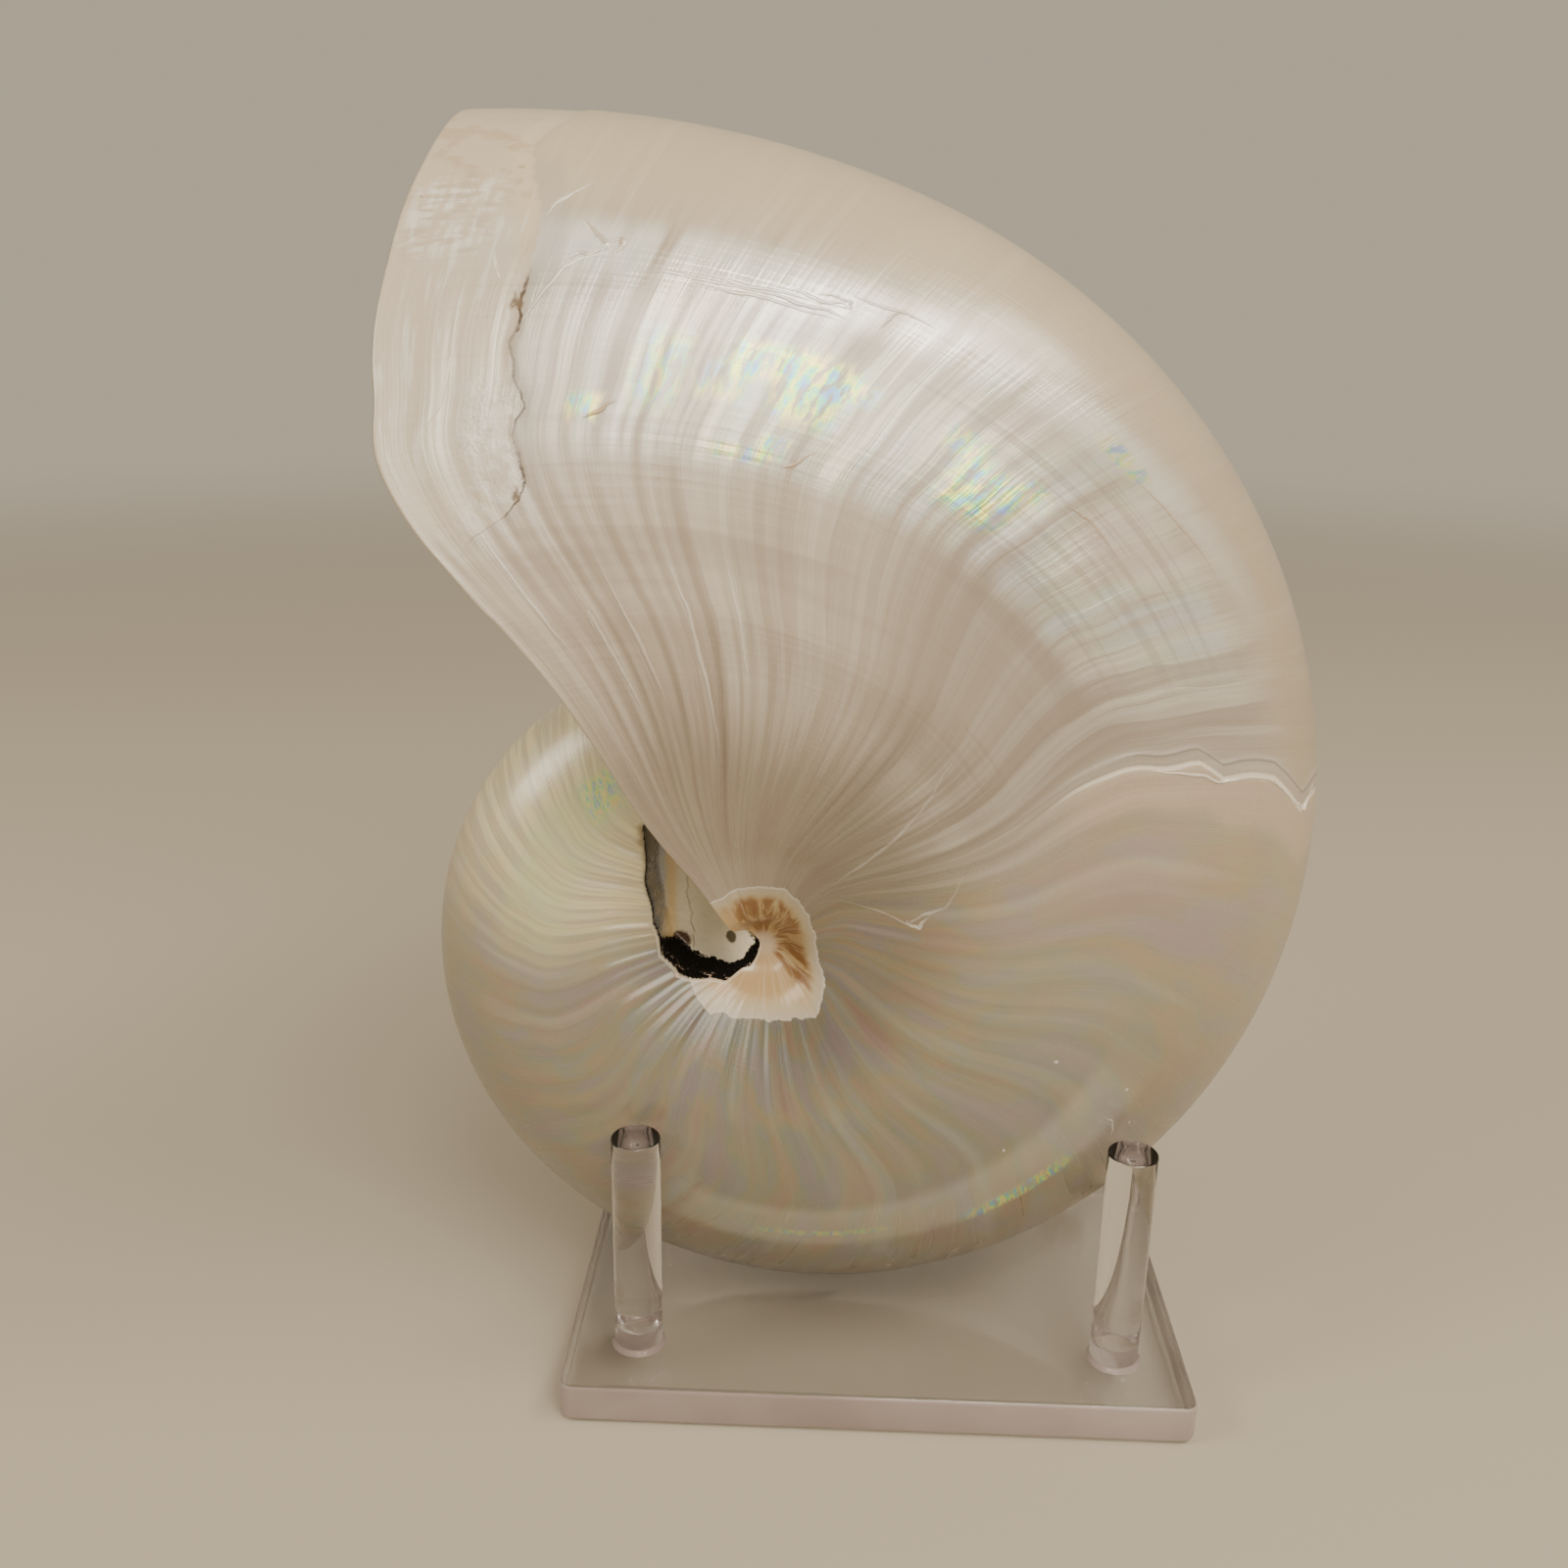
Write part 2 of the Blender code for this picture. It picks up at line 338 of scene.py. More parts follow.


# Scars on the near side: (points as age and distance from the keel, width, height, tone).
# Sizes are in millimetres. Tone is 1 for a pale ridge, its top painted light as a painted highlight, -1
# for a rusty crack, 0 for plain pearl.
SCARS = (
    (((5.8, 0.69), (5.3, 0.74), (4.8, 0.79), (3.6, 0.82)), 0.5, 0.10, 0.6),
    (((5.2, 0.91), (5.0, 0.95), (4.7, 1.06), (5.2, 1.15)), 0.6, 0.12, 0.7),
    (((6.5, 0.56), (7.0, 0.59), (7.8, 0.62)), 0.45, 0.10, 0.6),
    (((9.3, 0.509), (9.6, 0.48), (10.2, 0.462), (11.4, 0.423)), 1.0, 0.18, 0.8),
    (((9.8, 0.704), (10.9, 0.65), (11.9, 0.599), (12.9, 0.582), (14.4, 0.57)), 0.9, 0.2, 0.7),
    (((11.4, 0.50), (12.6, 0.525), (14.0, 0.553), (14.6, 0.565)), 1.0, 0.28, -0.6),
    (((11.6, 0.592), (12.6, 0.572), (13.3, 0.575), (14.5, 0.556)), 1.0, 0.26, -0.4),
    (((14.0, 0.553), (14.9, 0.54), (15.2, 0.556), (14.6, 0.572)), 0.9, 0.2, -0.8),
    (((15.9, 0.599), (18.9, 0.590), (21.7, 0.593), (23.7, 0.594), (26.7, 0.591)), 0.9, 0.17, 0.7),
    (((19.5, 0.585), (22.6, 0.583), (25.0, 0.589), (28.0, 0.581), (31.0, 0.584)), 0.8, 0.16, 0.6),
    (((21.0, 0.601), (24.0, 0.604), (27.2, 0.600), (30.0, 0.604), (32.8, 0.60)), 0.8, 0.17, 0.5),
    (((25.0, 0.596), (27.5, 0.591), (29.6, 0.595), (31.8, 0.590), (33.6, 0.594)), 0.8, 0.2, 0.7),
    (((27.0, 0.576), (29.0, 0.572), (31.0, 0.577), (32.4, 0.566), (33.2, 0.576)), 0.8, 0.17, 0.6),
    (((30.0, 0.569), (31.0, 0.56), (32.6, 0.560), (33.0, 0.572), (31.4, 0.58)), 0.7, 0.2, 0.7),
    (((32.6, 0.548), (34.4, 0.547), (37.0, 0.539), (39.4, 0.541)), 0.8, 0.18, 1.0),
    (((36.4, 0.541), (36.1, 0.56), (36.0, 0.59)), 0.8, 0.16, 0.8),
    (((16.6, 0.814), (17.8, 0.803), (18.9, 0.789)), 0.8, 0.12, -1.0),
    (((35.5, 0.842), (36.7, 0.835), (37.9, 0.806)), 0.8, 0.12, -1.0),
    (((59.8, 0.681), (61.0, 0.672), (62.4, 0.667), (65.0, 0.667), (67.4, 0.673)), 0.7, 0.14, -0.7),
    (((59.9, 0.534), (61.8, 0.531), (63.6, 0.524), (66.0, 0.517), (68.2, 0.508), (71.0, 0.50),
      (73.6, 0.502)), 0.7, 0.14, -0.6),
    (((9.0, 1.12), (10.1, 1.04), (10.0, 1.12), (10.3, 1.22), (10.9, 1.34)), 0.7, 0.18, 0.6),
    (((14.5, 0.95), (14.2, 1.05), (14.4, 1.16), (15.0, 1.30)), 0.8, 0.2, 0.5),
    (((22.0, 0.93), (22.6, 1.02), (22.3, 1.15), (23.0, 1.32), (23.6, 1.45)), 0.8, 0.2, 0.6),
    (((29.2, 0.91), (29.6, 1.02), (29.4, 1.14), (30.0, 1.25)), 0.8, 0.16, 0.5),
    (((92.8, 0.80), (93.4, 0.75), (94.0, 0.70), (94.8, 0.66), (94.5, 0.62), (94.0, 0.57)),
     0.8, 0.25, 0.9),
    (((93.7, 0.535), (94.3, 0.50), (95.6, 0.44), (96.6, 0.378), (97.3, 0.335), (96.0, 0.30),
      (94.6, 0.255)), 0.8, 0.25, 0.9),
    (((93.7, 0.526), (96.0, 0.545), (99.0, 0.57), (103.1, 0.594), (112.0, 0.64), (120.9, 0.678)),
     0.6, 0.06, -0.2),
    (((88.7, 1.692), (85.0, 1.62), (82.4, 1.541), (77.0, 1.35), (72.0, 1.166), (70.9, 0.974)),
     0.8, 0.12, 0.4),
    (((94.0, 1.741), (103.0, 1.60), (110.2, 1.452), (106.5, 1.40), (104.0, 1.319), (97.0, 1.26),
      (93.3, 1.215)), 0.8, 0.12, 0.4),
    (((108.4, 1.452), (110.2, 1.45), (111.2, 1.41), (109.0, 1.40), (106.2, 1.368)), 1.0, 0.18, 1.0),
    (((142.2, 0.893), (142.6, 0.886)), 0.9, 0.12, 1.0),
    (((139.0, 0.688), (139.4, 0.682)), 0.9, 0.12, 1.0),
    (((141.7, 0.594), (142.1, 0.588)), 0.8, 0.12, 1.0),
    (((161.2, 0.817), (161.6, 0.811)), 0.8, 0.12, 1.0),
    (((144.5, 0.681), (144.0, 0.65), (144.6, 0.62), (145.5, 0.605)), 0.7, 0.08, 0.6),
)
SCAR_ACROSS = ((-1.0, -0.06), (-0.6, 0.45), (-0.25, 0.9), (0.0, 1.0), (0.25, 0.9), (0.6, 0.45),
               (1.0, -0.06))
SCAR_LIFT = 0.8
SCAR_EDGE_DEPTH = 0.00008
KEEL_TO_SHOULDER = 0.72
SHOULDER_TO_AXIS = 0.50


def add_scars(verts, faces, table):
    """Adds a low ribbon along each scar; the coil tree bends it onto the shell with the rest."""
    rng = np.random.default_rng(SEED)
    for points, width, height, tone in SCARS:
        points = np.array(points)
        along = np.linspace(0, len(points) - 1, 7 * (len(points) - 1) + 1)
        age = np.interp(along, range(len(points)), points[:, 0])
        away = np.interp(along, range(len(points)), points[:, 1])
        taper = np.sin(np.pi * (along + 0.25) / (along[-1] + 0.5)) ** 1.1
        share = SHOULDER_RADIUS + (1 - SHOULDER_RADIUS) * np.cos(np.minimum(away, 1) * math.pi / 2)
        share = np.where(away > 1, SHOULDER_RADIUS * (2 - away), share)
        radius = VENTER_RADIUS * math.exp(GROWTH * math.radians(-points[:, 0].mean() + 10.0))
        per_age = np.maximum(share, 0.05) * radius * math.pi / 180
        per_away = np.where(away > 1, SHOULDER_TO_AXIS, KEEL_TO_SHOULDER) * radius
        ahead = np.stack([np.gradient(age) * per_age, np.gradient(away) * per_away])
        ahead /= np.hypot(*ahead)
        wobble = np.convolve(rng.normal(0, 0.25, len(along) + 2), (0.3, 0.4, 0.3), "valid")
        first = len(verts)
        for k in range(len(along)):
            half = width / 2000 * taper[k] * rng.uniform(0.8, 1.2)
            rise = SCAR_LIFT * height / 1000 * taper[k] * rng.uniform(0.75, 1.25)
            for across, lift in SCAR_ACROSS:
                shift = (across + wobble[k]) * half
                verts.append((along[k], across, 1.0))
                table["age"].append(age[k] - ahead[1, k] * shift / per_age[k])
                table["away"].append(away[k] + ahead[0, k] * shift / per_away[k])
                table["inset"].append(-rise * lift if lift > 0 else SCAR_EDGE_DEPTH)
                table["shrink"].append(1.0)
                table["side"].append(-1.0)
                table["scar"].append(tone * (1 - across * across) * taper[k])
                table["ribbon"].append(1.0)
        count = len(SCAR_ACROSS)
        for k in range(len(along) - 1):
            for j in range(count - 1):
                a = first + k * count + j
                faces.append((a, a + 1, a + count + 1, a + count))


COIL_INPUTS = (
    ("Venter Radius", VENTER_RADIUS), ("Mouth Angle", MOUTH_ANGLE), ("Growth", GROWTH),
    ("Flare", FLARE), ("Flare Start", FLARE_START), ("Shoulder Radius", SHOULDER_RADIUS),
    ("Half Width", HALF_WIDTH), ("Venter Roundness", VENTER_ROUNDNESS),
    ("Flank Roundness", FLANK_ROUNDNESS), ("Umbilicus Drop", UMBILICUS_DROP),
    ("Umbilicus Power", UMBILICUS_POWER), ("Septum Depth", SEPTUM_DEPTH))


def coil_tree(material):
    """Geometry Nodes that bend the grid into the coil."""
    tree = bpy.data.node_groups.new("grow the coil", "GeometryNodeTree")
    tree.interface.new_socket("Geometry", in_out="INPUT", socket_type="NodeSocketGeometry")
    identifiers = {}
    for name, value in COIL_INPUTS:
        socket = tree.interface.new_socket(name, in_out="INPUT", socket_type="NodeSocketFloat")
        socket.default_value = value
        identifiers[name] = socket.identifier
    tree.interface.new_socket("Geometry", in_out="OUTPUT", socket_type="NodeSocketGeometry")
    n = Nodes(tree)
    start = n.tree.nodes.new("NodeGroupInput")
    given = {name: Value(n, start.outputs[name]) for name, _ in COIL_INPUTS}

    def point(name):
        settings = {"data_type": "FLOAT"}
        return n.add("GeometryNodeInputNamedAttribute", settings, {"Name": name}, "Attribute")

    age, inset, shrink = point("age"), point("inset"), point("shrink")
    away, side = point("away"), point("side")
    shoulder, half_width = given["Shoulder Radius"], given["Half Width"]

    def section(place):
        quarter = place.least(1.0) * (math.pi / 2)
        past = (place - 1.0).most(0.0)
        top = quarter.math("COSINE").most(0.0) ** given["Venter Roundness"]
        radius = shoulder + (1.0 - shoulder) * top - shoulder * past
        power = given["Umbilicus Power"] * 0.5
        soft = SHOULDER_SOFTNESS**2
        drop = (past * past + soft) ** power - soft ** (UMBILICUS_POWER / 2)
        offset = quarter.math("SINE") ** given["Flank Roundness"]
        return radius.most(0.0), half_width * (offset - given["Umbilicus Drop"] * drop)

    radius, offset = section(away)
    radius_next, offset_next = section(away + 0.01)
    along_radius, along_offset = radius_next - radius, offset_next - offset
    length = (along_radius * along_radius + along_offset * along_offset + 1e-12) ** 0.5
    lip = n.add("ShaderNodeFloatCurve", {
        "curve": [(place / 2, (angle - LIP_LOW) / LIP_SPAN) for place, angle in LIP],
    }, {"Value": away * 0.5}) * LIP_SPAN + LIP_LOW
    lip = LIP_MIDDLE + (lip - LIP_MIDDLE) * shrink
    bowl = given["Septum Depth"] * (1.0 - shrink * shrink) * (inset * 1e4).least(1.0)
    angle = lip - age - bowl
    turned = (angle - given["Mouth Angle"]) * (math.pi / 180)
    past = (1.0 + (angle - given["Mouth Angle"]) / given["Flare Start"]).most(0.0)
    growth = (turned * given["Growth"]).math("EXPONENT")
    venter = given["Venter Radius"] * growth * (1.0 + given["Flare"] * past * past)
    middle = 0.5
    across = (offset * venter + inset * along_radius / length).most(0.0) * shrink
    reach = radius * venter - inset * along_offset / length
    reach = (reach - middle * venter) * shrink + middle * venter
    turn = angle * (math.pi / 180)
    place = n.combine(reach * turn.math("COSINE"), across * side, reach * turn.math("SINE"))
    geometry = n.add("GeometryNodeSetPosition", None,
                     {"Geometry": Value(n, start.outputs["Geometry"]), "Position": place})
    geometry = n.add("GeometryNodeMergeByDistance", None,
                     {"Geometry": geometry, "Distance": 2e-6})
    geometry = n.add("GeometryNodeSetShadeSmooth", None, {"Geometry": geometry})
    geometry = n.add("GeometryNodeRealizeInstances", None, {"Geometry": geometry})
    geometry = n.add("GeometryNodeSetMaterial", None,
                     {"Geometry": geometry, "Material": material})
    n.add("NodeGroupOutput", None, {"Geometry": geometry})
    return tree, identifiers


def settle(thing):
    """The object with its modifiers turned into a plain mesh."""
    graph = bpy.context.evaluated_depsgraph_get()
    mesh = bpy.data.meshes.new_from_object(thing.evaluated_get(graph), depsgraph=graph)
    thing.modifiers.clear()
    thing.data = mesh
    return thing


def read(mesh, name):
    values = np.empty(len(mesh.vertices))
    mesh.attributes[name].data.foreach_get("value", values)
    return values


def write(mesh, name, values):
    layer = mesh.attributes.get(name) or mesh.attributes.new(name, "FLOAT", "POINT")
    layer.data.foreach_set("value", values.astype(np.float32))


def coil_matrix():
    """From the coil's own axes to the frame: its turn, its lean onto the rear pegs and its place."""
    turn = Euler((math.radians(COIL_LEAN), 0.0, math.radians(COIL_YAW)), "XYZ")
    return Matrix.Translation(COIL_CENTRE) @ turn.to_matrix().to_4x4()


def inside_distance(x, z, outline):
    """Distance in from the outline at each point, and below 0 outside it."""
    inside = np.zeros(len(x), bool)
    nearest = np.full(len(x), 1.0)
    for (ax, az), (bx, bz) in zip(outline, outline[1:] + outline[:1]):
        share = ((x - ax) * (bx - ax) + (z - az) * (bz - az)) / ((bx - ax)**2 + (bz - az)**2)
        share = np.clip(share, 0.0, 1.0)
        nearest = np.minimum(nearest, np.hypot(x - ax - share * (bx - ax),
                                               z - az - share * (bz - az)))
        crosses = (az > z) != (bz > z)
        with np.errstate(divide="ignore", invalid="ignore"):
            inside ^= crosses & (x < (bx - ax) * (z - az) / (bz - az) + ax)
    return np.where(inside, nearest, -nearest)


def smooth(low, high, x):
    share = np.clip((x - low) / (high - low), 0.0, 1.0)
    return share * share * (3 - 2 * share)


def waves(x, periods, seed):
    """A sum of sines with seeded phases, between about -1 and 1."""
    phases = np.random.default_rng(seed).uniform(0, 2 * math.pi, len(periods))
    total = sum(np.sin(2 * math.pi * x / p + phase) for p, phase in zip(periods, phases))
    return total / math.sqrt(len(periods))


def edge_age(edge, away):
    """Age of a layer's edge at each distance from the keel."""
    return np.interp(away, [place for place, _ in edge], [age for _, age in edge])


def ground_normals(points, normals, ribbon, outside):
    """Each ribbon point takes the normal of the shell below it, so that it moves with the shell."""
    ground = np.flatnonzero(outside & ~ribbon)
    tree = KDTree(len(ground))
    for index in ground:
        tree.insert(points[index], index)
    tree.balance()
    for index in np.flatnonzero(ribbon):
        normals[index] = normals[tree.find(points[index])[1]]


def carve_shell(mesh):
    """Moves the coil's points for the newest layer, the old break, the ribs and the umbilical pit."""
    points = np.empty(len(mesh.vertices) * 3)
    mesh.vertices.foreach_get("co", points)
    points = points.reshape(-1, 3)
    normals = np.empty(len(mesh.vertices) * 3)
    mesh.vertex_normals.foreach_get("vector", normals)
    normals = normals.reshape(-1, 3)
    age, away, side = read(mesh, "age"), read(mesh, "away"), read(mesh, "side")
    outside = (read(mesh, "inset") < WALL / 2) & (read(mesh, "shrink") > 0.9)
    ground_normals(points, normals, read(mesh, "ribbon") > 0.5, outside)
    fade = smooth(1.85, 1.25, away)
    sink = GROWTH_RELIEF * waves(age, (3.1, 4.7, 6.3, 9.1), 1) * smooth(0.45, 0.9, away) * fade
    older = smooth(200, 260, age) * smooth(0.5, 0.8, away)
    sink += OLDER_RELIEF * waves(age + 3 * away, (5.3, 7.9, 13.0), 2) * older * fade
    ribs = smooth(0.82, 1.0, away) * smooth(1.9, 1.4, away) * smooth(44, 26, age) * smooth(5, 9, age)
    sink += RIB_RELIEF * waves(age + 0.6 * np.sin(4 * away), (1.9, 2.7, 4.1, 5.9), 6) * ribs

    healed = age - edge_age(HEALED_EDGE, away)
    healed -= 0.4 * waves(away, (0.11, 0.057), 3) * smooth(0.6, 0.75, away)
    sink += LAYER_STEP * smooth(0.35, -0.35, healed)
    broken = age - edge_age(BREAK_EDGE, away) - 0.12 * waves(away, (0.31, 0.13), 4)
    worn = smooth(1.05, 0.92, away)
    sink += worn * BREAK_GROOVE * np.exp(-(broken / 0.4)**2)
    sink -= worn * BREAK_WELT * np.exp(-((broken + 1.75) / 0.35)**2)
    points -= normals * (sink * outside)[:, None]

    pulled = smooth(AXIS_DROP_REACH, 0.002, np.hypot(points[:, 0], points[:, 2]))
    points[:, 0] += AXIS_DROP[0] * pulled
    points[:, 2] += AXIS_DROP[1] * pulled
    x, z = points[:, 0], points[:, 2]
    reach = np.hypot(x - AXIS_DROP[0], z - AXIS_DROP[1])
    seen = (age < PIT_NEWEST) & (read(mesh, "shrink") > 0.9)
    depth = inside_distance(x, z, list(PIT_RIM))
    ragged = 0.00025 * waves(np.arctan2(z, x), (0.9, 0.43), 5)
    sunk = smooth(0.0, PIT_WALL, depth + ragged) * (age > PIT_OLDEST) * outside
    floor = PIT_FLOOR + (AXIS_HEIGHT - PIT_FLOOR) * smooth(-0.011, 0.0005, x)
    points[:, 1] += (side * floor - points[:, 1]) * sunk
    level = smooth(0.0080, 0.0020, reach) * seen * (1 - sunk)
    under = side * (AXIS_HEIGHT - read(mesh, "inset"))
    points[:, 1] += (under - points[:, 1]) * level
    lining = (age > PIT_OLDEST) & outside
    write(mesh, "pit", np.where(lining, np.clip((depth + ragged) * 1000, -3, 12), -3.0))
    write(mesh, "callus", np.clip(inside_distance(x, z, list(CALLUS_EDGE)) * 1000, -4, 12))
    write(mesh, "healed", np.clip(healed, -12, 12))
    write(mesh, "broken", np.clip(broken, -12, 12))
    write(mesh, "coil_x", x * 1000)
    write(mesh, "coil_y", points[:, 1] * 1000)
    write(mesh, "coil_z", z * 1000)
    mesh.vertices.foreach_set("co", points.ravel())
    mesh.transform(coil_matrix())
    mesh.update()


def close_scars(mesh):
    """Fills the open underside of each scar, which lies just below the shell's surface."""
    bm = bmesh.new()
    bm.from_mesh(mesh)
    rims = [edge for edge in bm.edges if edge.is_boundary]
    for edge in rims:
        edge.smooth = False
    for face in bmesh.ops.holes_fill(bm, edges=rims, sides=0)["faces"]:
        loop = face.loops[0]
        if loop.link_loop_radial_next.vert == loop.vert:
            face.normal_flip()
    bm.to_mesh(mesh)
    bm.free()


def build_shell(material):
    """Grows the coil from the flat grid, carves it and hands it over as the shell."""
    rows, columns = shell_grid()
    thing = grid_object(rows, columns)
    tree, identifiers = coil_tree(material)
    modifier = thing.modifiers.new("coil", "NODES")
    modifier.node_group = tree
    for name, value in COIL_INPUTS:
        modifier[identifiers[name]] = value
    settle(thing)
    carve_shell(thing.data)
    close_scars(thing.data)
    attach(thing, "root")
    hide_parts("nautilus_shell")
    return thing


# ---------------------------------------------------------------- nacre
PEARL = (0.545, 0.485, 0.375)
PEARL_LIGHT = (0.74, 0.695, 0.585)
PEARL_ROSE = (0.49, 0.405, 0.325)
PEARL_SHADE = (0.32, 0.252, 0.188)
# Colour of the painted highlights on the pearl
PAINTED_HIGHLIGHT_WHITE = (0.84, 0.82, 0.76)
CREAM = (0.52, 0.415, 0.265)
OLDER = ((0.30, (0.40, 0.285, 0.245)), (0.44, (0.43, 0.325, 0.24)), (0.52, (0.45, 0.335, 0.19)),
         (0.60, (0.38, 0.335, 0.235)), (0.72, (0.49, 0.385, 0.27)))
RAINBOW = ((0.0, (0.80, 0.42, 0.36)), (0.25, (0.80, 0.62, 0.26)), (0.5, (0.42, 0.72, 0.34)),
           (0.75, (0.30, 0.62, 0.70)), (1.0, (0.56, 0.48, 0.80)))
# Hues of the painted iridescent highlights
PAINTED_GLINT_HUES = ((0.0, (0.86, 0.66, 0.28)), (0.25, (0.80, 0.82, 0.16)), (0.5, (0.42, 0.84, 0.16)),
          (0.75, (0.14, 0.66, 0.50)), (1.0, (0.16, 0.34, 0.80)))
# Tone of the pearl by its age in turns of the coil, darkest low down: partly the older whorl's own
# browner nacre, partly painted shade on the lower coil, which faces away from the lamps above
TONE_AND_PAINTED_SHADE = ((0.0, 1.0), (0.12, 0.97), (0.17, 0.84), (0.24, 0.76), (0.32, 0.69), (0.40, 0.50),
        (0.54, 0.38), (0.68, 0.41), (0.78, 0.49), (0.87, 0.84), (1.0, 1.04))


def drift(away, side):
    """0 on the near side. On the far side it rises from 0 at the keel, so no pattern breaks there."""
    return away.least(1.0) * (side + 1.0) * 0.6


def bands(n, age, away, side, width, across, seed, detail=3.0):
    """Noise drawn out along the growth lines: width in degrees of age, across in section."""
    vector = n.combine(age / width, away / across, drift(away, side) + (seed - 7.0))
    return n.noise(vector, 1.0, detail, 0.55)


def stripes(n, place):
    """A random value that changes all at once at each whole number of place."""
    settings = {"noise_dimensions": "1D"}
    return n.add("ShaderNodeTexWhiteNoise", settings, {"W": place.math("FLOOR")}, "Value")


def nacre_colour(n, age, away, side):
    """The pearl's colour away from the umbilicus, with painted highlights and painted shade in it, and
    its shine, its painted iridescent spots and its thin bands.
    """
    broad = bands(n, age, away, side, 9.0, 0.8, 1.0)
    streak = bands(n, age, away, side, 1.7, 0.8, 2.0, 4.0)
    silk = bands(n, age, away, side, 0.5, 0.7, 3.0, 3.0)
    ring = bands(n, age, away, side, 45.0, 0.02, 4.0, 3.0)
    soft_ring = bands(n, age, away, side, 80.0, 0.05, 11.0, 2.0)
    wide = stripes(n, age * 0.30 + broad * 2.4 - 7.0)
    thin = stripes(n, age * 1.1 + broad * 4.0 - 9.0)
    older = age.ramp(92.0, 104.0)
    calm = (1.0 - older * 0.7) * (0.25 + 0.75 * away.ramp(1.80, 1.35))
    flank = away.ramp(0.42, 0.56) * away.ramp(1.55, 1.15) * calm
    colour = n.mix(broad.ramp(0.38, 0.62), PEARL, PEARL_ROSE)
    colour = n.mix(wide.ramp(0.55, 0.95) * flank * 0.40, colour, PEARL_LIGHT)
    colour = n.mix(wide.ramp(0.45, 0.05) * flank * 0.38, colour, PEARL_SHADE)
    colour = n.mix(thin.ramp(0.60, 0.95) * flank * 0.14, colour, PEARL_LIGHT)
    colour = n.mix(thin.ramp(0.40, 0.05) * flank * 0.12, colour, PEARL_SHADE)
    colour = n.mix(streak.ramp(0.52, 0.62) * calm * 0.36, colour, PEARL_LIGHT)
    colour = n.mix(streak.ramp(0.47, 0.37) * away.ramp(0.55, 0.8) * calm * 0.40, colour, PEARL_SHADE)
    colour = n.mix(silk.ramp(0.46, 0.37) * calm * 0.20, colour, PEARL_SHADE)

    # Warmer, darker tan under the lower border of the painted highlight: painted shade where the flank
    # no longer reflects the lamps; soft spiral bands darken it further
    below = away.ramp(0.845, 0.875) * away.ramp(1.3, 1.0) * age.band(42.0, 30.0, 14.0)
    colour = n.mix(below * 0.40, colour, (0.43, 0.35, 0.265))
    colour = n.mix(below * soft_ring.ramp(0.48, 0.60) * 0.40, colour, PEARL_SHADE)
    # Painted shade: a darker patch on the right flank
    right = away.band(1.0, 0.14, 0.12) * age.band(72.0, 14.0, 12.0)
    colour = n.mix(right * 0.40, colour, PEARL_SHADE)

    # Painted highlight: the lamps' broad reflection on the upper flank, painted pale in streaks, with
    # darker cross-hatched rings in it
    painted_sheen = away.band(0.70, 0.13, 0.04) * age.band(42.0, 32.0, 14.0)
    lit = streak.ramp(0.40, 0.56) * (0.45 + 0.55 * wide)
    colour = n.mix(painted_sheen * lit * 0.55, colour, PAINTED_HIGHLIGHT_WHITE)
    colour = n.mix(painted_sheen * ring.ramp(0.53, 0.62) * 0.35, colour, PEARL_SHADE)
    # Painted highlight: a pale line along the shoulder where the lamps reflect
    highlight_line = 0.555 - (age - 45.0).most(0.0) * 0.0045
    shoulder = (away - highlight_line).band(0.0, 0.015, 0.06) * age.band(42.0, 30.0, 10.0)
    colour = n.mix(shoulder * streak.ramp(0.28, 0.48) * 0.8, colour, PAINTED_HIGHLIGHT_WHITE)

    patch = bands(n, age, away, side, 15.0, 0.60, 7.0, 1.0) + (streak - 0.5) * 0.05
    patch = n.add("ShaderNodeValToRGB", {"stops": OLDER}, {"Fac": patch}, "Color")
    colour = n.mix(older * 0.80, colour, patch)
    flare = bands(n, age, away, side, 6.5, 1.1, 13.0, 1.0)
    colour = n.mix(older * flare.ramp(0.54, 0.66) * 0.45, colour, (0.60, 0.53, 0.41))
    colour = n.mix(older * flare.ramp(0.45, 0.36) * away.ramp(0.8, 1.2) * 0.5, colour,
                   (0.36, 0.245, 0.165))
    colour = n.mix(away.ramp(0.58, 0.36) * 0.8, colour, CREAM)
    colour = n.mix(older * away.ramp(0.62, 0.52) * 0.5, colour, (0.42, 0.335, 0.235))
    # Darker towards the axis on the flank: partly the nacre's own colour, partly painted shade where the
    # flank faces down
    axis_tint_and_shade = away.ramp(1.10, 1.5) * age.ramp(330.0, 250.0)
    colour = n.mix(axis_tint_and_shade, colour, (0.64, 0.60, 0.57), "MULTIPLY")
    # Darker low down: partly the older whorl's own browner nacre, partly painted shade
    tone = n.add("ShaderNodeFloatCurve", {"curve": TONE_AND_PAINTED_SHADE}, {"Value": age / 360.0})
    colour = n.mix(1.0, colour, n.combine(tone, tone, tone), "MULTIPLY")
    # Lighter band along the lower venter: a painted reflection of the stand beneath
    strip = away.band(0.72, 0.05, 0.05) * age.band(180.0, 34.0, 16.0)
    colour = n.mix(strip * 0.40, colour, (0.44, 0.40, 0.32))
    # The previous whorl's top: its own yellowish cream, lightened further as a painted highlight
    crown_tint_and_highlight = age.ramp(282.0, 322.0)
    colour = n.mix(crown_tint_and_highlight * (0.35 + 0.5 * streak.ramp(0.42, 0.58)), colour, (0.78, 0.70, 0.41))
    colour = n.mix(crown_tint_and_highlight * away.band(0.78, 0.08, 0.1) * 0.5, colour, (0.52, 0.56, 0.30))

